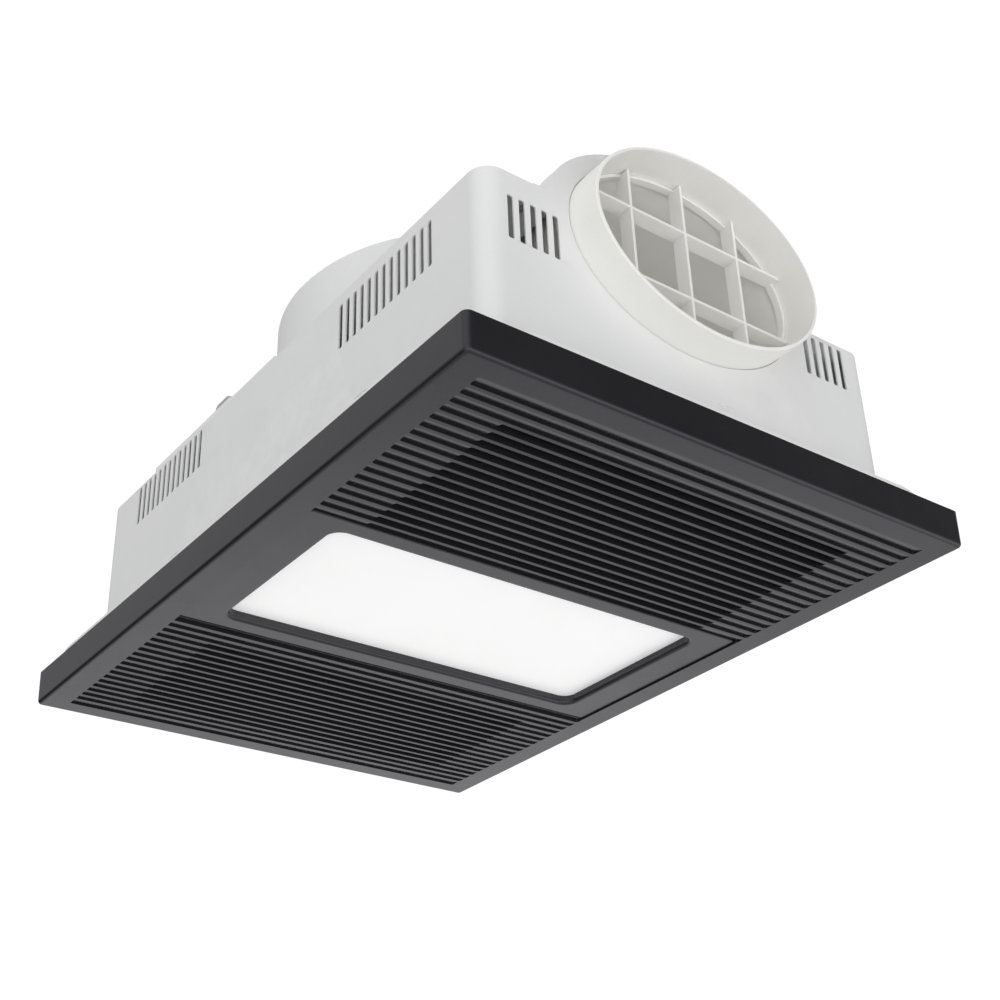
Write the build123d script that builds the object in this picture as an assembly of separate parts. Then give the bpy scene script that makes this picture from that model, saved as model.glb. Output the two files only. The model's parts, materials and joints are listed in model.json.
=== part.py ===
from build123d import *
import os
import math

# ---------------------------------------------------------------------------
# Ceiling unit for a bathroom: exhaust blower, fan heater and light behind one
# grille.  All lengths are millimetres.  Pieces are drawn in a corner frame:
# x and y from the sharp bottom corner of the fascia, z up from its face.  When
# they are written they are moved so that the origin is the centre of the
# fascia, on the plane where the mounting frame touches the ceiling.
# ---------------------------------------------------------------------------

# fascia
FW, FL, FH = 360.0, 514.0, 23.4        # width, length, depth of the side wall
DRAFT = 0.62                           # the side wall leans out by this at its top
F_CORNER, F_FILLET = 3.4, 2.6
F_WALL, F_PLATE = 2.6, 4.4
GX0, GX1 = 18.2, 341.8                 # grille field
GY0 = 15.66
PITCH, RIB_T, RIB_TOP = 8.7813, 2.4, 9.8
BLIND = (0.12, 1.85)                   # depth of the blind grooves at their start and end
WX0, WX1 = 52.7, 307.3                 # open window between the blind ends
BAY_Y0, BAY_Y1 = 172.6, 334.0          # bay of the light unit

# light unit
BEZ_X0, BEZ_X1, BEZ_Y0, BEZ_Y1, BEZ_Z = 18.6, 341.4, 173.7, 333.0, 1.15
LENS_W, LENS_L, LENS_R, LENS_CY = 274.5, 132.1, 8.6, 253.45
LENS_Z = 7.3
TRAY_Z = 22.4                          # top of the pan behind the lamps

# mounting frame and housing
FRAME_T = 3.2
Z_CEIL = FH + FRAME_T                  # height of the ceiling plane
HX0, HX1, HY0, HY1 = 33.2, 333.1, 27.1, 496.4
HZ0, HZ1, HR, HT = 25.0, 153.5, 12.8, 1.2
STEP_X, STEP_Y, STEP_Z = 284.5, 140.0, 140.3
LIP_W = 9.9
SLOT_W = 4.0

# exhaust blower
BX, BY, BR, BZ = 174.0, 245.7, 125.8, 216.0    # drum centre, radius and top
SX, SZ, SA, SB = 179.85, 144.0, 86.45, 62.82   # oval spigot: centre and half axes
S_RIM, S_END, S_T = 3.96, 128.0, 2.0
HOOD_A, HOOD_B = 102.8, 71.3                   # hood at its front lip
NECK_A, NECK_B, LIP_Y = 95.0, 69.6, 41.0       # hood behind the lip
PIN_Y = 122.0

# heater
QY, QZ, QR = 432.0, 98.0, 51.0                 # wheel axis and scroll radius
QX0, QX1 = 70.0, 250.0

CLIP_Y = (147.6, 380.3)

origin_shift = (-FW / 2, -FL / 2, -Z_CEIL)


def box(x0, x1, y0, y1, z0, z1):
    return Pos((x0 + x1) / 2, (y0 + y1) / 2, (z0 + z1) / 2) * Box(x1 - x0, y1 - y0, z1 - z0)


def zcyl(x, y, z0, z1, r):
    return Pos(x, y, (z0 + z1) / 2) * Cylinder(r, z1 - z0)


def xcyl(x0, x1, y, z, r):
    return Pos((x0 + x1) / 2, y, z) * Rot(0, 90, 0) * Cylinder(r, x1 - x0)


def ycyl(x, y0, y1, z, r):
    return Pos(x, (y0 + y1) / 2, z) * Rot(90, 0, 0) * Cylinder(r, y1 - y0)


def rprism(x0, x1, y0, y1, z0, z1, r):
    sk = Pos((x0 + x1) / 2, (y0 + y1) / 2, z0) * RectangleRounded(x1 - x0, y1 - y0, r)
    return extrude(sk, amount=z1 - z0, dir=(0, 0, 1))


def oval(a, b, y0, y1, xc=SX, zc=SZ):
    pl = Plane(origin=(xc, y0, zc), x_dir=(1, 0, 0), z_dir=(0, 1, 0))
    return extrude(pl * Ellipse(a, b), amount=y1 - y0, dir=(0, 1, 0))


def fuse(items):
    out = items[0]
    for it in items[1:]:
        out = out + it
    return out


def hexprism_z(x, y, z0, z1, r):
    return extrude(Pos(x, y, z0) * RegularPolygon(r, 6), amount=z1 - z0, dir=(0, 0, 1))


def pan_screw_down(x, y, z_seat, shank, r=1.4, head_r=3.0, head_h=2.0):
    """screw with its head above z_seat and its shank going down"""
    head = zcyl(x, y, z_seat, z_seat + head_h, head_r)
    head = fillet(head.edges().group_by(Axis.Z)[-1], head_h * 0.45)
    head = head - Pos(x, y, z_seat + head_h - 0.35) * (Box(head_r * 1.3, 0.8, 0.9) + Box(0.8, head_r * 1.3, 0.9))
    return head + zcyl(x, y, z_seat - shank, z_seat + 0.2, r)


def pan_screw_up(x, y, z_seat, shank, r=1.4, head_r=3.0, head_h=2.0):
    """screw with its head below z_seat and its shank going up"""
    head = zcyl(x, y, z_seat - head_h, z_seat, head_r)
    head = fillet(head.edges().group_by(Axis.Z)[0], head_h * 0.45)
    head = head - Pos(x, y, z_seat - head_h + 0.35) * (Box(head_r * 1.3, 0.8, 0.9) + Box(0.8, head_r * 1.3, 0.9))
    return head + zcyl(x, y, z_seat - 0.2, z_seat + shank, r)


nodes = {}

# ------------------------------------------------------------------ fascia --
rib = [GY0 + PITCH * (k + 1) for k in range(54)]
upper = rib[0:17]
lower = rib[36:54]
hw = RIB_T / 2
up_slots = [(GY0, upper[0] - hw)] + [(upper[i] + hw, upper[i + 1] - hw) for i in range(16)] + [(upper[16] + hw, BAY_Y0)]
lo_slots = [(BAY_Y1, lower[0] - hw)] + [(lower[i] + hw, lower[i + 1] - hw) for i in range(17)] + [(lower[17] + hw, GY0 + PITCH * 55)]
up_open = range(3, 18)
lo_open = range(3, 16)

taper = -math.degrees(math.atan(DRAFT / FH))
shell = extrude(Pos(FW / 2, FL / 2, 0) * RectangleRounded(FW, FL, F_CORNER), amount=FH, taper=taper)
shell = fillet(shell.edges().group_by(Axis.Z)[0], F_FILLET)
shell = shell - rprism(F_WALL, FW - F_WALL, F_WALL, FL - F_WALL, F_PLATE, FH + 1, 2.0)
shell = shell - box(GX0 + 0.1, GX1 - 0.1, BAY_Y0, BAY_Y1, -1, F_PLATE + 1)
# ledge that carries the light unit, and the pads of the spring clips
ledge = box(12, 348, BAY_Y0, BAY_Y1, F_PLATE, RIB_TOP) - box(27, 333, 181, 325, 0, 20)
ledge = ledge + box(10, GX0 + 0.1, BAY_Y0, BAY_Y1, 3.0, RIB_TOP) + box(GX1 - 0.1, 350, BAY_Y0, BAY_Y1, 3.0, RIB_TOP)
ledge = ledge + box(12, 348, BAY_Y1 - 1, BAY_Y1 + 2, F_PLATE - 0.4, RIB_TOP)
ledge = ledge + box(12, 54.6, BAY_Y0 - 2, BAY_Y0 + 1, F_PLATE - 0.4, RIB_TOP)
ledge = ledge + box(FW - 54.6, 348, BAY_Y0 - 2, BAY_Y0 + 1, F_PLATE - 0.4, RIB_TOP)
shell = shell + ledge
for cy in CLIP_Y:
    shell = shell + box(34.5, 51.5, cy - 9.5, cy + 9.5, 3.6, RIB_TOP) + box(FW - 46.5, FW - 28.2, cy - 9.5, cy + 9.5, 3.6, RIB_TOP)
# deep ribs behind the open windows, with two tie bars
deep = []
for k in list(range(2, 17)):
    deep.append(box(WX0 - 3, WX1 + 3, rib[k] - hw, rib[k] + hw, F_PLATE - 0.6, RIB_TOP))
for k in list(range(38, 52)):
    deep.append(box(WX0 - 3, WX1 + 3, rib[k] - hw, rib[k] + hw, F_PLATE - 0.6, RIB_TOP))
for tx in (137.5, 222.5):
    deep.append(box(tx - 1.4, tx + 1.4, rib[2], BAY_Y0 + 1, 7.4, RIB_TOP))
    deep.append(box(tx - 1.4, tx + 1.4, BAY_Y1 - 1, rib[51], 7.4, RIB_TOP))
for tx in (WX0 - 2.2, WX1 + 2.2):
    deep.append(box(tx - 1.2, tx + 1.2, rib[2], BAY_Y0 + 1, F_PLATE - 0.6, RIB_TOP))
    deep.append(box(tx - 1.2, tx + 1.2, BAY_Y1 - 1, rib[51], F_PLATE - 0.6, RIB_TOP))
shell = shell + deep


def groove(a, b, z0=None, z1=None):
    """blind groove: its floor falls away from one rib in a slow curve and ends at the next"""
    z0 = BLIND[0] if z0 is None else z0
    z1 = BLIND[1] if z1 is None else z1
    pts = [(a - 0.01, -1.0)]
    for t in (0.0, 0.2, 0.4, 0.6, 0.8, 1.0):
        pts.append((a + (b - a) * t, z0 + (z1 - z0) * t ** 1.4))
    pts.append((b + 0.01, z1))
    pts.append((b + 0.01, -1.0))
    pl = Plane(origin=(GX0, 0, 0), x_dir=(0, 1, 0), z_dir=(1, 0, 0))
    wedge = extrude(pl * make_face(Polyline(*pts, close=True)), amount=GX1 - GX0, dir=(1, 0, 0))
    return wedge & rprism(GX0, GX1, a, b, -2, 4, 1.2)


cuts = []
for i, (a, b) in enumerate(up_slots):
    b2 = b + 0.3 if i == 17 else b
    cuts.append(groove(a, b2, z1=2.4 if i == 17 else None))
    if i in up_open:
        cuts.append(rprism(WX0, WX1, a, b, -1, F_PLATE + 0.01, 1.2))
for i, (a, b) in enumerate(lo_slots):
    a2 = a - 0.3 if i == 0 else a
    cuts.append(groove(a2, b, *((BEZ_Z, 2.6) if i == 0 else ())))
    if i in lo_open:
        cuts.append(rprism(WX0, WX1, a, b, -1, F_PLATE + 0.01, 1.2))
shell = shell - cuts
tray_screw_xy = [(20, 181), (20, 253.5), (20, 326), (340, 181), (340, 253.5), (340, 326)]
clip_screw_xy = [(46, CLIP_Y[0]), (46, CLIP_Y[1]), (FW - 41, CLIP_Y[0]), (FW - 41, CLIP_Y[1])]
for x, y in tray_screw_xy + clip_screw_xy:
    shell = shell - zcyl(x, y, 5.4, RIB_TOP + 1, 1.43)
nodes["fascia"] = shell

# ------------------------------------------------------------- light unit --
bezel = rprism(BEZ_X0, BEZ_X1, BEZ_Y0, BEZ_Y1, BEZ_Z, F_PLATE, 2.5)
bezel = fillet(bezel.edges().group_by(Axis.Z)[0], 0.7)
lx0, lx1 = FW / 2 - LENS_W / 2, FW / 2 + LENS_W / 2
ly0, ly1 = LENS_CY - LENS_L / 2, LENS_CY + LENS_L / 2
bezel = bezel + rprism(lx0 - 2.2, lx1 + 2.2, ly0 - 2.2, ly1 + 2.2, F_PLATE - 0.5, LENS_Z, LENS_R + 2.2)
bezel = bezel - rprism(lx0, lx1, ly0, ly1, 0, LENS_Z + 1, LENS_R)
inner = bezel.edges().group_by(Axis.Z)[0]
inner = [e for e in inner if lx0 - 1 < e.center().X < lx1 + 1 and ly0 - 1 < e.center().Y < ly1 + 1]
try:
    bezel = fillet(inner, 2.6)
except Exception:
    pass
nodes["light_bezel"] = bezel

nodes["diffuser"] = rprism(36, 324, 183, 323.9, LENS_Z, RIB_TOP, 9.0)

tray = rprism(14, 346, 174.4, 332.2, RIB_TOP, RIB_TOP + 0.8, 3.0)
tray = tray + rprism(37.2, 322.8, 184.2, 322.8, RIB_TOP, TRAY_Z, 6.0)
tray = tray - rprism(38, 322, 185, 322, RIB_TOP - 1, TRAY_Z - 0.8, 5.2)
for x, y in tray_screw_xy:
    tray = tray - zcyl(x, y, 5, 15, 1.7)
led_screw_xy = [(58, 203), (180, 203), (302, 203), (58, 304), (180, 304), (302, 304)]
for x, y in led_screw_xy:
    tray = tray - zcyl(x, y, TRAY_Z - 2, TRAY_Z + 1, 1.43)
nodes["led_tray"] = tray

board = rprism(49, 311, 193.5, 313.5, TRAY_Z - 2.4, TRAY_Z - 0.8, 4.0)
for x, y in led_screw_xy:
    board = board - zcyl(x, y, TRAY_Z - 3, TRAY_Z, 1.6)
nodes["led_board"] = board
chips = []
for i in range(12):
    for j in range(5):
        cx, cy = 69.0 + i * 20.2, 213.5 + j * 20.0
        chips.append(box(cx - 1.6, cx + 1.6, cy - 1.6, cy + 1.6, TRAY_Z - 3.2, TRAY_Z - 2.4))
nodes["led_chips"] = Compound(chips)
nodes["fascia_screws"] = Compound(
    [pan_screw_up(x, y, TRAY_Z - 2.4, 2.6, r=1.38, head_r=2.6, head_h=1.5) for x, y in led_screw_xy]
    + [pan_screw_down(x, y, RIB_TOP + 0.8, 5.0, r=1.38) for x, y in tray_screw_xy]
    + [pan_screw_down(x, y, RIB_TOP + 0.8, 5.0, r=1.38) for x, y in clip_screw_xy])

driver = rprism(62, 148, 214, 252, TRAY_Z, TRAY_Z + 21, 3.0)
driver = fillet(driver.edges().group_by(Axis.Z)[-1], 1.5)
driver = driver + box(56, 62.5, 219, 247, TRAY_Z, TRAY_Z + 2) + box(147.5, 154, 219, 247, TRAY_Z, TRAY_Z + 2)
nodes["led_driver"] = driver
clips = []
for cy in CLIP_Y:
    for side in (0, 1):
        leaf = box(36.0, 36.8, cy - 7, cy + 7, RIB_TOP, 74.0) + box(36.0, 50.5, cy - 7, cy + 7, RIB_TOP, RIB_TOP + 0.8)
        bump = Plane(origin=(0, cy - 7, 0), x_dir=(1, 0, 0), z_dir=(0, 1, 0)) * Polyline(
            (36.2, -58), (34.75, -64), (34.75, -66), (36.2, -72), (36.7, -72), (36.7, -58), close=True)
        bump = extrude(make_face(bump), amount=14, dir=(0, 1, 0))
        leaf = leaf + bump - zcyl(46, cy, 5, 15, 1.7)
        if side:
            leaf = mirror(leaf, Plane(origin=(183.15, 0, 0), x_dir=(0, 1, 0), z_dir=(1, 0, 0)))
            leaf = Pos(0, 0, 0) * leaf
        clips.append(leaf)
# the mirrored clips have their screw hole at x = 320.3: the fascia's pilot is at 319
clips = [c if c.center().X < 180 else c + zcyl(320.3, c.center().Y, RIB_TOP, RIB_TOP + 0.8, 1.9) - zcyl(FW - 41, c.center().Y, 5, 15, 1.7) for c in clips]
nodes["fascia_clips"] = Compound(clips)

# ---------------------------------------------------------- mounting frame --
frame = rprism(0.2, FW - 0.2, 0.2, FL - 0.2, FH, Z_CEIL, 50.0)
LX0, LX1, LY0, LY1 = HX0 + LIP_W, HX1 - LIP_W, HY0 + LIP_W, HY1 - LIP_W
frame = frame - rprism(LX0, LX1, LY0, LY1, FH - 1, Z_CEIL + 1, 8.0)
frame = frame - rprism(HX0 - 0.3, HX1 + 0.3, HY0 - 0.3, HY1 + 0.3, HZ0, Z_CEIL + 1, HR + 0.3)
CEIL_X, CEIL_Y, CEIL_R = 163.0, 200.0, 2.6
for sx in (-1, 1):
    for sy in (-1, 1):
        frame = frame - zcyl(FW / 2 + sx * CEIL_X, FL / 2 + sy * CEIL_Y, FH - 1, Z_CEIL + 1, CEIL_R)
frame_screw_xy = [(38.2, 90), (38.2, 345), (38.2, 450), (328.1, 90), (328.1, 345), (328.1, 450), (110, 32.1), (256, 32.1), (110, 491.4), (256, 491.4)]
for x, y in frame_screw_xy:
    frame = frame - zcyl(x, y, FH - 1, Z_CEIL + 1, 1.7)
notches = []
for cy in CLIP_Y:
    notches += [box(34.7, LX0 + 1, cy - 10.5, cy + 10.5, FH - 1, Z_CEIL + 1), box(LX1 - 1, HX1 - 1.5, cy - 10.5, cy + 10.5, FH - 1, Z_CEIL + 1)]
frame = frame - notches
nodes["mounting_frame"] = frame

# ----------------------------------------------------------------- housing --
body = rprism(HX0, HX1, HY0, HY1, HZ0, HZ1, HR)
body = body - box(STEP_X, HX1 + 5, HY0 - 5, STEP_Y, STEP_Z, HZ1 + 5)
cav = rprism(HX0 + HT, HX1 - HT, HY0 + HT, HY1 - HT, HZ0 + HT, HZ1 - HT, HR - HT)
cav = cav - box(STEP_X - HT, HX1 + 5, HY0 - 5, STEP_Y + HT, STEP_Z - HT, HZ1 + 5)
body = body - cav
body = body - rprism(LX0, LX1, LY0, LY1, HZ0 - 1, HZ0 + HT + 1, 8.0)
body = body - notches
body = body - oval(SA + 0.4, SB + 0.4, HY0 - 5, 60)
body = body - box(84.5, 275.5, 29.3, 33, HZ1 - HT - 1, HZ1 + 1)
body = body - box(90, 270, 31, BY, HZ1 - HT - 1, HZ1 + 1) - zcyl(BX, BY, HZ1 - HT - 1, HZ1 + 1, BR - 4.1)
vents = []
for k in range(5):
    for x in (51.6 + 7.8 * k, FW - 50.4 - 7.8 * k):
        vents.append(Pos(x, HY0 + 3, 122.82) * Rot(90, 0, 0) * extrude(RectangleRounded(SLOT_W, 29.74, 1.28), amount=8, both=True))
for y0, zc, sl in ((77.3, 129.5, 31.8), (353.0, 137.1, 29.6)):
    for k in range(13):
        y = y0 + 7.8 * k
        vents.append(Pos(HX0 + 2, y, zc) * Rot(0, 90, 0) * extrude(RectangleRounded(sl, SLOT_W, 1.28), amount=5, both=True))
        if y0 > 200:
            vents.append(Pos(HX1 - 2, y, zc) * Rot(0, 90, 0) * extrude(RectangleRounded(sl, SLOT_W, 1.28), amount=5, both=True))
body = body - vents
for cy in CLIP_Y:
    body = body - box(HX0 - 2, HX0 + 3, cy - 6, cy + 6, 60, 68.6) - box(HX1 - 3, HX1 + 2, cy - 6, cy + 6, 60, 68.6)
body = body - box(195, 206, HY0 - 2, HY0 + 0.5, 50, 56)
GL_Y, GL_Z = 85.0, 100.0
body = body - xcyl(HX1 - 4, HX1 + 4, GL_Y, GL_Z, 8.2)
body = body - rprism(293, 326, 48, 130, STEP_Z - HT - 1, STEP_Z + 1, 3)
for x, y in frame_screw_xy:
    body = body - zcyl(x, y, HZ0 - 1, HZ0 + HT + 0.5, 1.43)
cover_screw_xy = [(BX + 131.2 * math.cos(math.radians(a)), BY + 131.2 * math.sin(math.radians(a))) for a in (8, 60, 112, 146, 176)] + [(73.2, 45), (73.2, 118)]
for x, y in cover_screw_xy:
    body = body - zcyl(x, y, HZ1 - HT - 1, HZ1 + 1, 1.43)
term_screw_xy = [(309.5, 42.5), (309.5, 134.5)]
for x, y in term_screw_xy:
    body = body - zcyl(x, y, STEP_Z - HT - 1, STEP_Z + 1, 1.43)
nodes["housing"] = body

nodes["frame_screws"] = Compound([pan_screw_up(x, y, FH, 4.6, r=1.38, head_r=2.9, head_h=1.8) for x, y in frame_screw_xy])

# ------------------------------------------------------------ blower cover --
drum = zcyl(BX, BY, HZ1, BZ, BR)
drum = fillet(drum.edges().group_by(Axis.Z)[-1], 2.5)
above = box(0, FW, 0, FL, HZ1, BZ + 20)
hood = (oval(HOOD_A, HOOD_B, HY0 + 0.5, LIP_Y) + oval(NECK_A, NECK_B, HY0 + 0.5, BY - 20)) & above
cover = drum + hood
flange = box(69, 283.9, HY0 + 0.5, BY, HZ1, HZ1 + 1.5) + zcyl(BX, BY, HZ1, HZ1 + 1.5, BR + 9)
cover = cover + flange
void_drum = zcyl(BX, BY, HZ1 - 1, BZ - 2, BR - 2)
void_hood = (oval(HOOD_A - 2, HOOD_B - 2, HY0 + 2.5, LIP_Y - 2) + oval(NECK_A - 2, NECK_B - 2, HY0 + 2.5, BY - 21)) & box(0, FW, 0, FL, HZ1 - 1, BZ + 20)
cover = cover - void_drum - void_hood
bulk = oval(NECK_A - 1, NECK_B - 1, 112, 113.4) & above
cover = cover + bulk
cover = cover - oval(SA + 0.4, SB + 0.4, HY0 - 5, 118)
motor_lug = [(BX + 58 * math.cos(math.radians(a)), BY + 58 * math.sin(math.radians(a))) for a in (90, 210, 330)]
for x, y in motor_lug:
    cover = cover - zcyl(x, y, BZ - 4, BZ + 3, 2.2)
for x, y in cover_screw_xy:
    cover = cover - zcyl(x, y, HZ1 - 1, HZ1 + 3, 1.7)
nodes["blower_cover"] = cover
nodes["cover_screws"] = Compound(
    [pan_screw_down(x, y, HZ1 + 1.5, 6.0, r=1.38) for x, y in cover_screw_xy]
    + [pan_screw_down(x, y, STEP_Z + 1.2, 5.0, r=1.38, head_h=1.6) for x, y in term_screw_xy])

# ------------------------------------------------------------ duct spigot --
ia, ib = SA - S_T, SB - S_T
tube = oval(SA, SB, S_RIM, S_END)
try:
    tube = fillet(tube.edges().group_by(Axis.Y)[0], 0.8)
except Exception:
    pass
tube = tube - oval(ia, ib, S_RIM - 1, S_END + 1)
tube = tube + (oval(94.0, 65.9, 29.9, 31.9) - oval(SA - 0.5, SB - 0.5, 29, 33))
tube = tube + (oval(SA - 0.5, SB - 0.5, 123.1, 125.0) - oval(81.2, 57.4, 120, 128))
boss = (zcyl(SX, PIN_Y, 80, 92, 4.6) + zcyl(SX, PIN_Y, 196, 208, 4.6)) & oval(SA - 0.5, SB - 0.5, 110, 127)
tube = tube + boss
tube = tube - zcyl(SX, PIN_Y, 84.5, 203.5, 2.03)
nodes["duct_spigot"] = tube

GY_F, GY_B = 23.4, 33.1
grid = oval(ia - 0.25, ib - 0.25, GY_B - 4.5, GY_B) - oval(ia - 2.1, ib - 2.1, GY_F - 1, GY_B + 1)
bars = [box(SX + d - 0.92, SX + d + 0.92, GY_F, GY_B, 70, 220) for d in (-42.06, 0, 42.06)]
bars += [box(80, 280, GY_F, GY_B, SZ + d - 0.92, SZ + d + 0.92) for d in (-24.0, 24.0)]
grid = grid + (fuse(bars) & oval(ia - 0.3, ib - 0.3, GY_F, GY_B))
nodes["spigot_grid"] = grid

nodes["damper_pin"] = zcyl(SX, PIN_Y, 84.8, 203.2, 2.0)


def leaf(side):
    plate = oval(83.6, 60.0, PIN_Y - 0.7, PIN_Y + 0.7)
    if side < 0:
        plate = plate & box(SX - 100, SX - 4.7, 100, 140, 60, 230)
        spans = [(94.0, 110.0), (161.5, 177.5)]
    else:
        plate = plate & box(SX + 4.7, SX + 100, 100, 140, 60, 230)
        spans = [(110.5, 126.5), (178.0, 194.0)]
    out = plate
    for a, b in spans:
        out = out + zcyl(SX, PIN_Y, a, b, 4.0)
        if side < 0:
            out = out + box(SX - 6, SX - 2.6, PIN_Y - 0.7, PIN_Y + 0.7, a, b)
        else:
            out = out + box(SX + 2.6, SX + 6, PIN_Y - 0.7, PIN_Y + 0.7, a, b)
    # pressed stiffening bead
    out = out + (oval(52, 36, PIN_Y - 1.6, PIN_Y - 0.5) - oval(49, 33, PIN_Y - 3, PIN_Y)
                 & box(SX - 60 if side < 0 else SX + 9, SX - 9 if side < 0 else SX + 60, 100, 140, 60, 230))
    return out - zcyl(SX, PIN_Y, 80, 210, 2.06)


nodes["damper_leaf_left"] = leaf(-1)
nodes["damper_leaf_right"] = leaf(1)
coil = Helix(pitch=2.6, height=18.2, radius=3.3, center=(SX, PIN_Y, 135.0))
wire = Plane(origin=coil @ 0, z_dir=coil % 0) * Circle(0.45)
nodes["damper_spring"] = sweep(wire, path=coil)

# ---------------------------------------------------------- exhaust scroll --
Z_FLOOR = 78.0
SCR_R, SCR_T = 123.4, 1.4
SC0, SC1, SCY = 88.5, 271.5, 112.0
scr = zcyl(BX, BY, Z_FLOOR, HZ1 - HT, SCR_R) + box(SC0, SC1, SCY, BY, Z_FLOOR, HZ1 - HT)
scr = scr - zcyl(BX, BY, Z_FLOOR + 1.6, HZ1, SCR_R - SCR_T) - box(SC0 + SCR_T, SC1 - SCR_T, SCY + SCR_T, BY, Z_FLOOR + 1.6, HZ1)
scr = scr - oval(SA + 0.4, SB + 0.4, 100, SCY + 6)
scr = scr - zcyl(BX, BY, Z_FLOOR - 1, Z_FLOOR + 3, 72.0)
nodes["scroll_pan"] = scr

tongue = Pos(0, 0, Z_FLOOR + 1.6) * extrude(make_face(Polyline(
    (SC0 + SCR_T, 131), (104, 131), (112, 139), (110, 147), (100, 152), (SC0 + SCR_T, 151), close=True)), amount=HZ1 - HT - Z_FLOOR - 1.6, dir=(0, 0, 1))
nodes["scroll_tongue"] = tongue

prof = Plane(origin=(BX, BY, 0), x_dir=(1, 0, 0), z_dir=(0, -1, 0)) * Polyline(
    (84, 76.4), (84, 78.0), (71.4, 78.0), (66.5, 82.0), (65.5, 90.0), (63.9, 90.0), (64.9, 81.2), (70.4, 76.4), close=True)
nodes["inlet_ring"] = revolve(make_face(prof), axis=Axis((BX, BY, 0), (0, 0, 1)))

# -------------------------------------------------------- exhaust impeller --
W_R, W_RI, WZ0, WZ1 = 84.0, 69.0, 92.0, 178.0
cup = zcyl(BX, BY, WZ1 - 1.6, WZ1, W_R) - zcyl(BX, BY, WZ1 - 2, WZ1 + 1, 50)
cup = cup + (zcyl(BX, BY, 144, WZ1, 52) - zcyl(BX, BY, 146, WZ1 + 1, 50))
cup = cup + zcyl(BX, BY, 128, 145, 9)
cup = cup - zcyl(BX, BY, 120, 150, 4.03)
for a in range(6):
    cup = cup - Pos(BX, BY, 0) * Rot(0, 0, 60 * a) * zcyl(32, 0, 140, 150, 6)
nodes["impeller_hub"] = cup
nodes["impeller_ring"] = zcyl(BX, BY, WZ0, WZ0 + 2, W_R) - zcyl(BX, BY, WZ0 - 1, WZ0 + 3, W_RI - 1)
blade = []
for i in range(36):
    b = Pos(BX, BY, 0) * Rot(0, 0, 10 * i) * Pos(76.2, 0, 0) * Rot(0, 0, 32) * box(-7.6, 7.6, -0.6, 0.6, WZ0 + 2, WZ1 - 1.6)
    blade.append(b)
nodes["impeller_blades"] = Compound(blade)
nodes["exhaust_shaft"] = zcyl(BX, BY, 119, 194.8, 4.0)
nodes["impeller_nut"] = hexprism_z(BX, BY, 121, 128, 7.5) - zcyl(BX, BY, 118, 130, 4.03)

# ----------------------------------------------------------- exhaust motor --
mot = zcyl(BX, BY, 152, 204, 46)
mot = fillet(mot.edges().group_by(Axis.Z)[0], 3.0)
mot = fillet(mot.edges().group_by(Axis.Z)[-1], 3.0)
for a in (90, 210, 330):
    arm = Pos(BX, BY, 0) * Rot(0, 0, a) * (box(40, 58, -6.5, 6.5, 200, 203) + zcyl(58, 0, 200, 203, 6.5))
    mot = mot + arm
for x, y in motor_lug:
    mot = mot - zcyl(x, y, 190, 210, 2.05)
mot = mot - zcyl(BX, BY, 150, 195, 4.05) - zcyl(BX, BY, 150, 158, 9.0)
for i in range(12):
    mot = mot - Pos(BX, BY, 0) * Rot(0, 0, 30 * i + 15) * box(44.2, 50, -3, 3, 162, 194)
nodes["exhaust_motor"] = mot
nodes["exhaust_bearing"] = zcyl(BX, BY, 152.2, 158, 8.96) - zcyl(BX, BY, 150, 160, 4.05)
nodes["motor_grommets"] = Compound([zcyl(x, y, 203, BZ - 2, 6.0) - zcyl(x, y, 200, BZ, 2.2) for x, y in motor_lug])
nodes["motor_screws"] = Compound([pan_screw_down(x, y, BZ, 14.0, r=2.0, head_r=4.2, head_h=2.5) for x, y in motor_lug])

# --------------------------------------------------------------- partition --
part_w = box(HX0 + HT + 0.2, HX1 - HT - 0.2, 372.0, 373.2, HZ0 + HT, HZ1 - HT)
part_w = part_w + box(LX0 + 4, LX1 - 4, 366.0, 373.2, HZ0 + HT, HZ0 + 2 * HT)
part_w = part_w - box(296, 316, 370, 375, 40, 52)
for cy in CLIP_Y[1:]:
    part_w = part_w - box(30, 43, cy - 11, cy - 6, 0, 80) - box(323, 340, cy - 11, cy - 6, 0, 80)
nodes["partition"] = part_w

# ---------------------------------------------------------- heater housing --
def yz_dome(x0, x1, r, y0, y1, z0):
    return xcyl(x0, x1, QY, QZ, r) + box(x0, x1, y0, y1, z0, QZ)


hh = yz_dome(QX0, QX1, QR, 384, 480, HZ0 + HT)
hh = hh - yz_dome(QX0 + 1, QX1 - 1, QR - 1, 385, 479, HZ0)
hh = hh - xcyl(QX1 - 3, QX1 + 3, QY, QZ, 33.0) - xcyl(QX0 - 3, QX0 + 3, QY, QZ, 9.6)
hh = hh + box(QX0, QX1, 479, 494, HZ0 + HT, HZ0 + 2 * HT)
hh = hh + box(QX0, QX0 + 1, 373.2, 385, 40, 90) + box(QX1 - 1, QX1, 373.2, 385, 40, 90)
hh = hh + box(QX0 - 11, QX0 + 1, 373.2, 374.2, 40, 90) + box(QX1 - 1, QX1 + 11, 373.2, 374.2, 40, 90)
for y, z in ((QY, QZ + 20), (QY + 17.32, QZ - 10), (QY - 17.32, QZ - 10)):
    hh = hh - xcyl(QX0 - 2, QX0 + 2, y, z, 1.7)
hs_xz = [(64, 52), (64, 78), (256, 52), (256, 78)]
for x, z in hs_xz:
    hh = hh - ycyl(x, 372, 376, z, 1.7)
    nodes["partition"] = nodes["partition"] - ycyl(x, 370, 374, z, 1.43)
for x, y in frame_screw_xy:
    hh = hh - zcyl(x, y, HZ0, HZ0 + 2 * HT + 1, 1.7)
nodes["heater_housing"] = hh
hscrews = []
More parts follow.
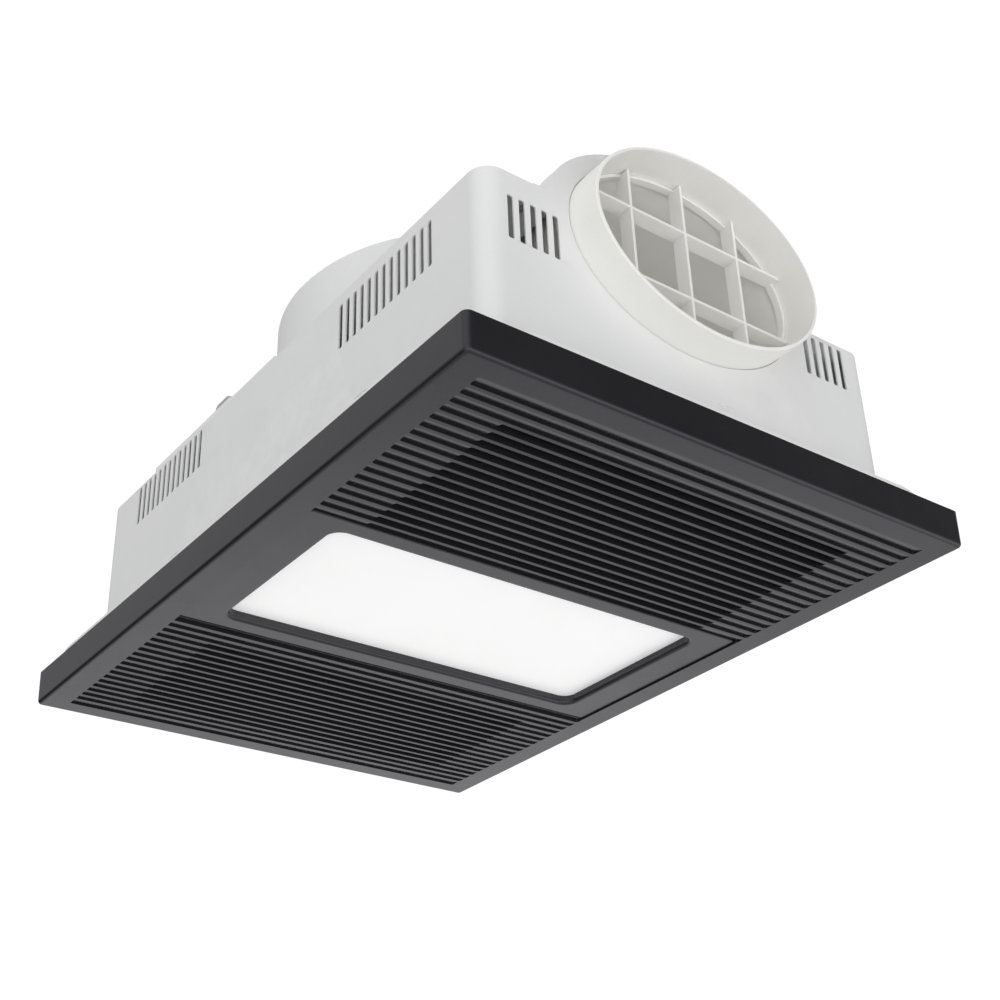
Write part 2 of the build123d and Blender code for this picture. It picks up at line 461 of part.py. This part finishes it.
for x, z in hs_xz:
    hd = ycyl(x, 374.2, 376.2, z, 3.0)
    hd = fillet(hd.edges().group_by(Axis.Y)[-1], 0.9)
    hd = hd - Pos(x, 376.0, z) * (Box(4, 0.9, 0.8) + Box(0.8, 0.9, 4))
    hscrews.append(hd + ycyl(x, 369.5, 374.5, z, 1.38))

hring = Plane(origin=(0, QY, QZ), x_dir=(1, 0, 0), z_dir=(0, 0, 1)) * Polyline(
    (QX1, 42), (QX1 + 1.2, 42), (QX1 + 1.2, 37), (QX1 + 6, 37), (QX1 + 6, 35.8), (QX1 + 1.2, 30.5), (QX1 - 6, 29.2), (QX1 - 6, 30.4), (QX1, 31.7), close=True)
nodes["heater_inlet_ring"] = revolve(make_face(hring), axis=Axis((0, QY, QZ), (1, 0, 0)))

# wheel of the heater
V_R, V_RI, VX0, VX1 = 40.0, 33.0, 94.0, 236.0
back = xcyl(VX0, VX0 + 1.2, QY, QZ, V_R) + xcyl(VX0 + 1, 107, QY, QZ, 9)
back = back - xcyl(80, 120, QY, QZ, 3.03)
nodes["heater_wheel_hub"] = back
nodes["heater_wheel_ring"] = xcyl(VX1 - 1.2, VX1, QY, QZ, V_R) - xcyl(VX1 - 3, VX1 + 2, QY, QZ, V_RI - 0.5)
hb = []
for i in range(28):
    b = Pos(0, QY, QZ) * Rot(360 / 28 * i, 0, 0) * Pos(0, 0, 36.3) * Rot(28, 0, 0) * box(VX0 + 1.2, VX1 - 1.2, -0.4, 0.4, -3.3, 3.3)
    hb.append(b)
nodes["heater_wheel_blades"] = Compound(hb)
nodes["heater_shaft"] = xcyl(45.2, 108.5, QY, QZ, 3.0)

hm = xcyl(40, 66, QY, QZ, 26)
hm = fillet(hm.edges().group_by(Axis.X)[0], 2.5)
hm = hm + xcyl(65, 74, QY, QZ, 9)
posts = [(QY, QZ + 20), (QY + 17.32, QZ - 10), (QY - 17.32, QZ - 10)]
for y, z in posts:
    hm = hm + xcyl(65, QX0, y, z, 3.6)
    hm = hm - xcyl(61, QX0 + 1, y, z, 1.43)
hm = hm - xcyl(45, 76, QY, QZ, 3.05) - xcyl(68, 76, QY, QZ, 6.0)
nodes["heater_motor"] = hm
nodes["heater_bearing"] = xcyl(68, 73.8, QY, QZ, 5.96) - xcyl(60, 80, QY, QZ, 3.05)
hms = []
for y, z in posts:
    hd = xcyl(QX0 + 1, QX0 + 2.6, y, z, 2.8)
    hms.append(hd + xcyl(QX0 - 5, QX0 + 1.2, y, z, 1.38))
nodes["heater_screws"] = Compound(hscrews + hms)

# heating element: tubes, folded fins between them, end holders
E0, E1, EZ0, EZ1 = 80.0, 240.0, 37.0, 51.0
tubes_y = [391.5, 418.5, 445.5, 472.5]
nodes["heater_tubes"] = Compound([rprism(E0, E1, y - 2.4, y + 2.4, EZ0, EZ1, 1.2) for y in tubes_y])
fins = []
for a, b in zip(tubes_y[:-1], tubes_y[1:]):
    y0, y1 = a + 2.4, b - 2.4
    n = 26
    st = (E1 - E0 - 4) / n
    line_a = [(E0 + 2 + i * st, y1 if i % 2 == 0 else y0 + 0.9) for i in range(n + 1)]
    line_b = [(E0 + 2 + i * st, y1 - 0.9 if i % 2 == 0 else y0) for i in range(n + 1)]
    # a zigzag ribbon: its upper and lower outlines are the same line moved apart
    ring_pts = []
    for i, (x, y) in enumerate(line_a):
        if i % 2 == 0:
            ring_pts += [(x - 0.5, y), (x + 0.5, y)]
        else:
            ring_pts += [(x, y)]
    low = []
    for i, (x, y) in enumerate(line_b):
        if i % 2 == 0:
            low += [(x, y)]
        else:
            low += [(x - 0.5, y), (x + 0.5, y)]
    poly = ring_pts + low[::-1]
    fins.append(extrude(make_face(Polyline(*poly, close=True)), amount=EZ1 - EZ0 - 1.0, dir=(0, 0, 1)))
nodes["heater_fins"] = Compound([Pos(0, 0, EZ0 + 0.5) * f for f in fins])
caps = []
for x0, x1, o in ((QX0 + 1, E0, -1), (E1, QX1 - 1, 1)):
    c = rprism(x0, x1, 386, 478, EZ0 - 1.5, EZ1 + 1.5, 1.5)
    caps.append(c)
nodes["heater_end_caps"] = Compound(caps)
cut = ycyl(160, 377, 384, 70, 8.5) + box(147, 173, 383.2, 384, 65, 75) + box(156, 164, 375, 378, 68, 72)
nodes["thermal_cutout"] = cut

# -------------------------------------------------------------- electrical --
tb = box(286.2, 331.7, 40, 137, 62, 138.9) - box(287.2, 330.7, 41, 136, 63, 140)
tb = tb - xcyl(328, 334, GL_Y, GL_Z, 8.2)
tb = tb - xcyl(284, 289, 60, 74, 5)
nodes["terminal_box"] = tb
tc = rprism(287, 331.6, 34.5, 138.6, STEP_Z, STEP_Z + 1.2, 4.0)
for x, y in term_screw_xy:
    tc = tc - zcyl(x, y, STEP_Z - 1, STEP_Z + 3, 1.7)
nodes["terminal_cover"] = tc
blk = box(296, 322, 50, 106, 63, 76)
blk = fillet(blk.edges().filter_by(Axis.Z), 1.5)
tscrew = []
for i in range(5):
    y = 56 + 11 * i
    for x in (302.5, 315.5):
        blk = blk - zcyl(x, y, 70, 78, 2.4)
        tscrew.append((x, y))
    blk = blk - xcyl(290, 330, y, 67, 1.6)
nodes["terminal_block"] = blk
nodes["terminal_block_screws"] = Compound([zcyl(x, y, 70, 74.5, 2.3) - box(x - 2.4, x + 2.4, y - 0.4, y + 0.4, 73.7, 76) for x, y in tscrew])
gl = xcyl(326, 334, GL_Y, GL_Z, 8.0)
hexo = Plane(origin=(HX1, GL_Y, GL_Z), x_dir=(0, 1, 0), z_dir=(1, 0, 0)) * RegularPolygon(12.5, 6)
gl = gl + extrude(hexo, amount=5.0, dir=(1, 0, 0))
gl = gl + xcyl(HX1 + 4.5, HX1 + 9.0, GL_Y, GL_Z, 9.0)
dome = xcyl(HX1 + 6.0, HX1 + 18.0, GL_Y, GL_Z, 11.0)
dome = fillet(dome.edges().group_by(Axis.X)[-1], 3.5)
gl = gl + dome - xcyl(334.2, 360, GL_Y, GL_Z, 5.0) - xcyl(320, 334.3, GL_Y, GL_Z, 6.0)
nodes["cable_gland"] = gl
gn = Plane(origin=(326.6, GL_Y, GL_Z), x_dir=(0, 1, 0), z_dir=(1, 0, 0)) * RegularPolygon(12.0, 6)
nodes["gland_nut"] = extrude(gn, amount=4.0, dir=(1, 0, 0)) - xcyl(320, 340, GL_Y, GL_Z, 8.04)

cap = rprism(301, 327, 152, 192, 88, 122, 4.0)
cap = fillet(cap.edges().group_by(Axis.Z)[-1], 2.0) + box(309, 311, 165, 171, 121, 129) + box(317, 319, 173, 179, 121, 129)
nodes["run_capacitor"] = cap
nodes["capacitor_strap"] = box(299.6, 300.9, 150.6, 193.4, 98, 110) + box(299.6, 331.9, 150.6, 151.9, 98, 110) + box(299.6, 331.9, 192.1, 193.4, 98, 110)

pcb = box(321.4, 323.0, 388, 486, 56, 124)
for y in (393, 481):
    for z in (61, 119):
        pcb = pcb - xcyl(318, 326, y, z, 1.7)
nodes["control_board"] = pcb
nodes["board_posts"] = Compound([xcyl(323.0, HX1 - HT, y, z, 3.0) - xcyl(322, 328, y, z, 1.3) for y in (393, 481) for z in (61, 119)])
rel = [box(305.4, 321.4, y, y + 19, 90, 112) for y in (402, 426, 450)]
nodes["relays"] = Compound([fillet(r.edges().filter_by(Axis.X), 1.0) for r in rel])
# ------------------------------------------------- wiring channel on top --
ch = box(33.4, 46.5, 313, 424, HZ1, HZ1 + 4.1)
ch = fillet(ch.edges().group_by(Axis.Z)[-1], 0.5)
ch = ch + box(33.4, 46.5, 252, 313.5, HZ1, HZ1 + 2.4)
ch = ch - zcyl(BX, BY, HZ1 - 1, HZ1 + 8, BR + 9.3)
nodes["wiring_channel"] = ch
tcp = box(35, 45, 316.5, 337.5, HZ1 + 4.1, HZ1 + 9.9)
tcp = fillet(tcp.edges().filter_by(Axis.X).group_by(Axis.Z)[-1], 5.0)
tcp = fillet(tcp.edges().filter_by(Axis.Y).group_by(Axis.Z)[-1], 1.2)
nodes["cable_clip"] = tcp

# ----------------------------------------------------------------- export --
os.makedirs("parts", exist_ok=True)
for name, shape in nodes.items():
    export_step(Pos(*origin_shift) * shape, "parts/%s.step" % name)
print(len(nodes), "nodes written")
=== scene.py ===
import json
import math

import bmesh
import bpy
from mathutils import Matrix, Vector

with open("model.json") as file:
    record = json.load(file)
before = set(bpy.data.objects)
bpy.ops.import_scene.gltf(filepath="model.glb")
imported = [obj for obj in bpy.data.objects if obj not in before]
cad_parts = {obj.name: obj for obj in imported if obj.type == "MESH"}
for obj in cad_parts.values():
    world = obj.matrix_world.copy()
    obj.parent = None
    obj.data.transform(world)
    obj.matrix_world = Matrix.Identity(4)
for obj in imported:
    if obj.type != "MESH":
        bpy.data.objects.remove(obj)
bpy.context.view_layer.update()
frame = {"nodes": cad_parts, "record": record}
N = frame["nodes"]
scene = bpy.context.scene
scene.view_settings.view_transform = "Standard"
scene.view_settings.look = "None"

# corner frame of the drawing, in millimetres, to the row frame, in metres
OX, OY, OZ = 180.0, 257.0, 26.6


def P(x, y, z):
    return Vector(((x - OX) / 1000, (y - OY) / 1000, (z - OZ) / 1000))


# ------------------------------------------------------------------ camera --
cam_data = bpy.data.cameras.new("camera")
cam = bpy.data.objects.new("camera", cam_data)
scene.collection.objects.link(cam)
cam_data.sensor_width = 36.0
cam_data.sensor_fit = "HORIZONTAL"
cam_data.lens = 55.79
cam_data.clip_start = 0.01
cam_data.clip_end = 50.0
right = Vector((0.80240657, -0.59594533, -0.03150979))
up = Vector((-0.27295063, -0.41344155, 0.86865645))
back = Vector((-0.53069921, -0.68841503, -0.49441187))
m = Matrix.Identity(4)
for i in range(3):
    m[i][0], m[i][1], m[i][2] = right[i], up[i], back[i]
m[0][3], m[1][3], m[2][3] = -0.53127, -0.73391, -0.44499
cam.matrix_world = m
scene.camera = cam


# --------------------------------------------------------------- materials --
def new_mat(name):
    mat = bpy.data.materials.new(name)
    mat.use_nodes = True
    nt = mat.node_tree
    b = nt.nodes["Principled BSDF"]
    tc = nt.nodes.new("ShaderNodeTexCoord")
    return mat, nt, b, tc.outputs["Object"]


def noise(nt, vec, scale, detail=3.0, rough=0.55, dims="3D"):
    n = nt.nodes.new("ShaderNodeTexNoise")
    n.noise_dimensions = dims
    n.inputs["Scale"].default_value = scale
    n.inputs["Detail"].default_value = detail
    n.inputs["Roughness"].default_value = rough
    nt.links.new(vec, n.inputs["Vector"])
    return n.outputs["Fac"]


def stretch(nt, vec, s):
    mp = nt.nodes.new("ShaderNodeMapping")
    mp.inputs["Scale"].default_value = s
    nt.links.new(vec, mp.inputs["Vector"])
    return mp.outputs["Vector"]


def ramp(nt, fac, stops):
    r = nt.nodes.new("ShaderNodeValToRGB")
    e = r.color_ramp.elements
    while len(e) > 1:
        e.remove(e[-1])
    e[0].position = stops[0][0]
    e[0].color = (*stops[0][1], 1)
    for p, c in stops[1:]:
        k = e.new(p)
        k.color = (*c, 1)
    nt.links.new(fac, r.inputs["Fac"])
    return r.outputs["Color"]


def vrange(nt, fac, a, b, lo=0.0, hi=1.0):
    r = nt.nodes.new("ShaderNodeMapRange")
    r.inputs["From Min"].default_value = lo
    r.inputs["From Max"].default_value = hi
    r.inputs["To Min"].default_value = a
    r.inputs["To Max"].default_value = b
    nt.links.new(fac, r.inputs["Value"])
    return r.outputs["Result"]


def mixc(nt, fac, a, b, kind="MIX"):
    n = nt.nodes.new("ShaderNodeMix")
    n.data_type = "RGBA"
    n.blend_type = kind
    n.clamp_factor = True
    if isinstance(fac, float):
        n.inputs["Factor"].default_value = fac
    else:
        nt.links.new(fac, n.inputs["Factor"])
    for sock, v in ((n.inputs[6], a), (n.inputs[7], b)):
        if isinstance(v, (tuple, list)):
            sock.default_value = (*v, 1)
        else:
            nt.links.new(v, sock)
    return n.outputs[2]


def math2(nt, op, a, b):
    n = nt.nodes.new("ShaderNodeMath")
    n.operation = op
    for s, v in zip(n.inputs, (a, b)):
        if isinstance(v, (int, float)):
            s.default_value = v
        else:
            nt.links.new(v, s)
    return n.outputs[0]


def bump(nt, b, height, strength=0.2, dist=0.001, prev=None):
    n = nt.nodes.new("ShaderNodeBump")
    n.inputs["Strength"].default_value = strength
    n.inputs["Distance"].default_value = dist
    nt.links.new(height, n.inputs["Height"])
    if prev is not None:
        nt.links.new(prev, n.inputs["Normal"])
    nt.links.new(n.outputs["Normal"], b.inputs["Normal"])
    return n.outputs["Normal"]


def pointiness(nt):
    g = nt.nodes.new("ShaderNodeNewGeometry")
    return g.outputs["Pointiness"]


def plastic(name, lo, hi, rough=(0.42, 0.52), grain=2600.0, grain_s=0.12, ior=1.5, cloud=9.0, wear=None, spec=0.5, coat=0.0, tint=None):
    """moulded plastic: slow colour drift, fine moulded grain, edges rubbed a little"""
    mat, nt, b, vec = new_mat(name)
    c = noise(nt, vec, cloud, 4.0, 0.6)
    col = ramp(nt, c, [(0.3, lo), (0.7, hi)])
    speck = noise(nt, vec, 900.0, 2.0, 0.5)
    col = mixc(nt, vrange(nt, speck, 0.0, 0.25, 0.55, 0.8), col, tuple(x * 1.18 for x in hi))
    if wear:
        edge = vrange(nt, pointiness(nt), 0.0, 0.55, 0.515, 0.60)
        patch = vrange(nt, noise(nt, vec, 55.0, 4.0, 0.65), 0.1, 1.0, 0.42, 0.66)
        col = mixc(nt, math2(nt, "MULTIPLY", edge, patch), col, wear)
    nt.links.new(col, b.inputs["Base Color"])
    nt.links.new(vrange(nt, noise(nt, vec, 30.0, 5.0, 0.6), rough[0], rough[1], 0.3, 0.7), b.inputs["Roughness"])
    b.inputs["IOR"].default_value = ior
    b.inputs["Specular IOR Level"].default_value = spec
    if tint:
        b.inputs["Specular Tint"].default_value = (*tint, 1)
    if coat:
        b.inputs["Coat Weight"].default_value = coat
        b.inputs["Coat Roughness"].default_value = 0.25
    h = noise(nt, vec, grain, 2.0, 0.5)
    bump(nt, b, h, grain_s, 0.0002)
    return mat


def metal(name, lo, hi, rough=(0.28, 0.45), streak=(1, 1, 1), scale=60.0, spangle=None, grain_s=0.08):
    mat, nt, b, vec = new_mat(name)
    sv = stretch(nt, vec, streak)
    c = noise(nt, sv, scale, 5.0, 0.65)
    col = ramp(nt, c, [(0.28, lo), (0.72, hi)])
    if spangle:
        v = nt.nodes.new("ShaderNodeTexVoronoi")
        v.inputs["Scale"].default_value = spangle
        v.inputs["Randomness"].default_value = 1.0
        nt.links.new(vec, v.inputs["Vector"])
        sep = nt.nodes.new("ShaderNodeSeparateColor")
        nt.links.new(v.outputs["Color"], sep.inputs["Color"])
        col = mixc(nt, vrange(nt, sep.outputs[0], 0.0, 0.22), col, tuple(x * 1.25 for x in hi))
        nt.links.new(vrange(nt, sep.outputs[1], rough[0], rough[1]), b.inputs["Roughness"])
    else:
        nt.links.new(vrange(nt, noise(nt, sv, scale * 2.3, 4.0, 0.6), rough[0], rough[1], 0.3, 0.7), b.inputs["Roughness"])
    nt.links.new(col, b.inputs["Base Color"])
    b.inputs["Metallic"].default_value = 1.0
    bump(nt, b, noise(nt, sv, scale * 12, 3.0, 0.6), grain_s, 0.0002)
    return mat


M = {}
M["fascia_plastic"] = plastic("fascia_plastic", (0.0150, 0.0148, 0.0175), (0.0185, 0.0183, 0.0215), rough=(0.23, 0.29), grain=1900.0, grain_s=0.10, tint=(0.90, 0.875, 1.0))
M["bezel_plastic"] = plastic("bezel_plastic", (0.0185, 0.0186, 0.0205), (0.023, 0.0232, 0.0255), rough=(0.23, 0.29), grain=1900.0, grain_s=0.10, tint=(0.93, 0.925, 1.0))
M["white_paint"] = plastic("white_paint", (0.755, 0.76, 0.765), (0.80, 0.80, 0.80), rough=(0.40, 0.55), grain=1300.0, grain_s=0.16, cloud=6.0, wear=(0.86, 0.86, 0.86))
M["white_plastic"] = plastic("white_plastic", (0.80, 0.80, 0.79), (0.84, 0.84, 0.83), rough=(0.38, 0.5), grain=2200.0, grain_s=0.08, cloud=8.0)
M["cream_plastic"] = plastic("cream_plastic", (0.86, 0.857, 0.825), (0.895, 0.892, 0.865), rough=(0.34, 0.46), grain=2200.0, grain_s=0.06, cloud=12.0, wear=(0.92, 0.917, 0.90))
M["grey_plastic"] = plastic("grey_plastic", (0.50, 0.465, 0.415), (0.57, 0.535, 0.485), rough=(0.35, 0.5), grain=2200.0, grain_s=0.08)
M["black_plastic"] = plastic("black_plastic", (0.018, 0.018, 0.019), (0.028, 0.028, 0.029), rough=(0.38, 0.5), grain_s=0.1, wear=(0.06, 0.06, 0.06))
M["dark_clip"] = plastic("dark_clip", (0.33, 0.33, 0.33), (0.43, 0.43, 0.425), rough=(0.4, 0.55))
M["driver_white"] = plastic("driver_white", (0.78, 0.78, 0.77), (0.83, 0.83, 0.82), rough=(0.4, 0.5))
M["rubber"] = plastic("rubber", (0.015, 0.015, 0.015), (0.03, 0.03, 0.03), rough=(0.65, 0.8), grain_s=0.2)
M["galvanised"] = metal("galvanised", (0.60, 0.61, 0.62), (0.71, 0.72, 0.725), rough=(0.32, 0.5), scale=40.0, spangle=110.0)
M["spring_steel"] = metal("spring_steel", (0.36, 0.36, 0.37), (0.5, 0.5, 0.5), rough=(0.22, 0.38), streak=(1, 8, 1), scale=120.0)
M["screw_steel"] = metal("screw_steel", (0.5, 0.5, 0.5), (0.64, 0.64, 0.62), rough=(0.25, 0.4), scale=400.0)
M["brass"] = metal("brass", (0.66, 0.47, 0.20), (0.78, 0.6, 0.32), rough=(0.22, 0.38), scale=300.0)
M["aluminium"] = metal("aluminium", (0.70, 0.71, 0.72), (0.82, 0.82, 0.83), rough=(0.25, 0.42), streak=(1, 14, 1), scale=60.0)
M["motor_steel"] = metal("motor_steel", (0.14, 0.145, 0.15), (0.22, 0.225, 0.23), rough=(0.35, 0.5), streak=(6, 6, 1), scale=80.0)


def ceramic():
    mat, nt, b, vec = new_mat("ceramic_white")
    c = noise(nt, vec, 70.0, 4.0, 0.6)
    nt.links.new(ramp(nt, c, [(0.3, (0.76, 0.73, 0.65)), (0.7, (0.86, 0.84, 0.78))]), b.inputs["Base Color"])
    nt.links.new(vrange(nt, noise(nt, vec, 200.0), 0.12, 0.28, 0.3, 0.7), b.inputs["Roughness"])
    bump(nt, b, noise(nt, vec, 450.0), 0.06, 0.0002)
    return mat


M["ceramic_white"] = ceramic()


def board(name, lo, hi, trace):
    """circuit board: solder mask over tracks"""
    mat, nt, b, vec = new_mat(name)
    br = nt.nodes.new("ShaderNodeTexVoronoi")
    br.distance = "MANHATTAN"
    br.feature = "DISTANCE_TO_EDGE" if False else "F1"
    br.inputs["Scale"].default_value = 90.0
    nt.links.new(vec, br.inputs["Vector"])
    tracks = vrange(nt, br.outputs["Distance"], 0.0, 1.0, 0.46, 0.5)
    base = ramp(nt, noise(nt, vec, 20.0), [(0.3, lo), (0.7, hi)])
    nt.links.new(mixc(nt, tracks, base, trace), b.inputs["Base Color"])
    nt.links.new(vrange(nt, noise(nt, vec, 90.0), 0.25, 0.4, 0.3, 0.7), b.inputs["Roughness"])
    bump(nt, b, tracks, 0.1, 0.0001)
    return mat


M["board_green"] = board("board_green", (0.010, 0.10, 0.035), (0.014, 0.13, 0.05), (0.03, 0.2, 0.08))
M["board_white"] = board("board_white", (0.80, 0.80, 0.79), (0.85, 0.85, 0.84), (0.74, 0.74, 0.72))


def opal():
    mat, nt, b, vec = new_mat("opal")
    c = noise(nt, vec, 14.0, 3.0, 0.5)
    nt.links.new(ramp(nt, c, [(0.3, (0.90, 0.90, 0.895)), (0.7, (0.93, 0.93, 0.93))]), b.inputs["Base Color"])
    nt.links.new(vrange(nt, noise(nt, vec, 120.0), 0.22, 0.34, 0.3, 0.7), b.inputs["Roughness"])
    # painted glow: the diffuser is not lit from behind, but an even emission brightens it, with painted shade
    # making it a little weaker at its border
    sep = nt.nodes.new("ShaderNodeSeparateXYZ")
    nt.links.new(vec, sep.inputs["Vector"])
    ax = math2(nt, "ABSOLUTE", sep.outputs["X"], 0.0)
    # painted shade: the glow drops to 0.93 towards the diffuser's border
    painted_edge_dimming = vrange(nt, ax, 1.0, 0.93, 0.10, 0.14)
    painted_glow = nt.nodes.new("ShaderNodeCombineColor")
    for k in range(3):
        nt.links.new(painted_edge_dimming, painted_glow.inputs[k])
    # the painted glow and its painted shade at the border go into the emission colour
    nt.links.new(painted_glow.outputs["Color"], b.inputs["Emission Color"])
    b.inputs["Emission Strength"].default_value = 0.22
    bump(nt, b, noise(nt, vec, 900.0), 0.03, 0.0002)
    return mat


M["opal"] = opal()


def led():
    mat, nt, b, vec = new_mat("led")
    c = noise(nt, vec, 500.0, 2.0, 0.5)
    nt.links.new(ramp(nt, c, [(0.3, (0.85, 0.72, 0.24)), (0.7, (0.93, 0.84, 0.4))]), b.inputs["Base Color"])
    nt.links.new(vrange(nt, noise(nt, vec, 300.0), 0.2, 0.35, 0.3, 0.7), b.inputs["Roughness"])
    bump(nt, b, noise(nt, vec, 1500.0), 0.05, 0.0001)
    return mat


M["led"] = led()

slot_of = {s["node"]: s["material_slot"] for s in frame["record"]["subparts"]}
BEVEL = {
    "fascia": 0.00025, "light_bezel": 0.0003, "mounting_frame": 0.0004, "housing": 0.0003, "blower_cover": 0.0004,
    "duct_spigot": 0.0003, "spigot_grid": 0.00025, "terminal_cover": 0.0003, "wiring_channel": 0.0003,
    "cable_clip": 0.0004, "cable_gland": 0.0004, "damper_leaf_left": 0.0002, "damper_leaf_right": 0.0002,
}
for name, ob in N.items():
    mat = M[slot_of[name]]
    ob.data.materials.clear()
    ob.data.materials.append(mat)
    weld = ob.modifiers.new("weld", "WELD")
    weld.merge_threshold = 0.000002
    if name in BEVEL:
        bev = ob.modifiers.new("bevel", "BEVEL")
        bev.width = BEVEL[name]
        bev.segments = 2
        bev.limit_method = "ANGLE"
        bev.angle_limit = math.radians(38)
        bev.use_clamp_overlap = True
    sm = ob.modifiers.new("normals", "WEIGHTED_NORMAL")
    sm.keep_sharp = True

# ------------------------------------------------------------ floor, light --
def floor():
    """pale floor a metre below the unit, thinning out to nothing at its border"""
    bm = bmesh.new()
    s = 3.0
    vs = [bm.verts.new((x, y, -1.0)) for x, y in ((-s, -s), (s, -s), (s, s), (-s, s))]
    bm.faces.new(vs)
    me = bpy.data.meshes.new("floor")
    bm.to_mesh(me)
    bm.free()
    ob = bpy.data.objects.new("floor", me)
    scene.collection.objects.link(ob)
    mat, nt, b, vec = new_mat("floor")
    nt.links.new(ramp(nt, noise(nt, vec, 3.0), [(0.3, (0.86, 0.86, 0.86)), (0.7, (0.88, 0.88, 0.88))]), b.inputs["Base Color"])
    b.inputs["Roughness"].default_value = 0.9
    b.inputs["Specular IOR Level"].default_value = 0.0
    ln = nt.nodes.new("ShaderNodeVectorMath")
    ln.operation = "LENGTH"
    flat = stretch(nt, vec, (1, 1, 0))
    nt.links.new(flat, ln.inputs[0])
    fade = vrange(nt, ln.outputs["Value"], 0.0, 1.0, 0.9, 1.7)
    tr = nt.nodes.new("ShaderNodeBsdfTransparent")
    mx = nt.nodes.new("ShaderNodeMixShader")
    nt.links.new(fade, mx.inputs[0])
    nt.links.new(b.outputs[0], mx.inputs[1])
    nt.links.new(tr.outputs[0], mx.inputs[2])
    nt.links.new(mx.outputs[0], nt.nodes["Material Output"].inputs["Surface"])
    me.materials.append(mat)


floor()

# studio light: broad soft lobes around the unit, each an axis and a strength
LOBE_K = 8.0
S2, S3 = 2 ** -0.5, 3 ** -0.5
LOBES = [
    ((1, 0, 0), 0.453), ((-1, 0, 0), 0.560), ((0, 1, 0), 0.220), ((0, -1, 0), 0.526),
    ((0, 0, 1), 1.038), ((0, 0, -1), 0.447), ((S2, S2, 0), 0.463), ((S2, -S2, 0), 0.000),
    ((-S2, S2, 0), 0.220), ((-S2, -S2, 0), 0.806), ((S2, 0, S2), 0.220), ((S2, 0, -S2), 0.624),
    ((-S2, 0, S2), 0.771), ((-S2, 0, -S2), 0.522), ((0, S2, S2), 0.407), ((0, S2, -S2), 0.916),
    ((0, -S2, S2), 0.000), ((0, -S2, -S2), 1.587), ((S3, S3, S3), 0.727), ((S3, S3, -S3), 0.400),
    ((S3, -S3, S3), 0.000), ((S3, -S3, -S3), 1.668), ((-S3, S3, S3), 0.439), ((-S3, S3, -S3), 0.277),
    ((-S3, -S3, S3), 0.697), ((-S3, -S3, -S3), 1.343),
]
# two narrower ones: a bright patch low behind the unit and a dim gap beside it
EXTRA = [((0.450, 0.800, -0.400), 0.40, 16.0), ((-0.491, 0.691, -0.531), -0.70, 6.0)]
world = bpy.data.worlds.new("studio")
scene.world = world
world.use_nodes = True
wn = world.node_tree
wn.nodes.clear()
wo = wn.nodes.new("ShaderNodeOutputWorld")
bg_seen = wn.nodes.new("ShaderNodeBackground")
bg_seen.inputs["Color"].default_value = (1, 1, 1, 1)
bg_seen.inputs["Strength"].default_value = 1.05
bg_light = wn.nodes.new("ShaderNodeBackground")
bg_light.inputs["Color"].default_value = (1, 1, 1, 1)
wtc = wn.nodes.new("ShaderNodeTexCoord")
total = None
for axis, power, k in [(a, p, LOBE_K) for a, p in LOBES] + EXTRA:
    if power == 0:
        continue
    d = wn.nodes.new("ShaderNodeVectorMath")
    d.operation = "DOT_PRODUCT"
    wn.links.new(wtc.outputs["Generated"], d.inputs[0])
    d.inputs[1].default_value = axis
    q = math2(wn, "MAXIMUM", d.outputs["Value"], 0.0)
    q = math2(wn, "POWER", q, k)
    q = math2(wn, "MULTIPLY", q, power)
    total = q if total is None else math2(wn, "ADD", total, q)
wn.links.new(math2(wn, "MAXIMUM", total, 0.0), bg_light.inputs["Strength"])
lp = wn.nodes.new("ShaderNodeLightPath")
mx = wn.nodes.new("ShaderNodeMixShader")
wn.links.new(lp.outputs["Is Camera Ray"], mx.inputs[0])
wn.links.new(bg_light.outputs[0], mx.inputs[1])
wn.links.new(bg_seen.outputs[0], mx.inputs[2])
wn.links.new(mx.outputs[0], wo.inputs["Surface"])
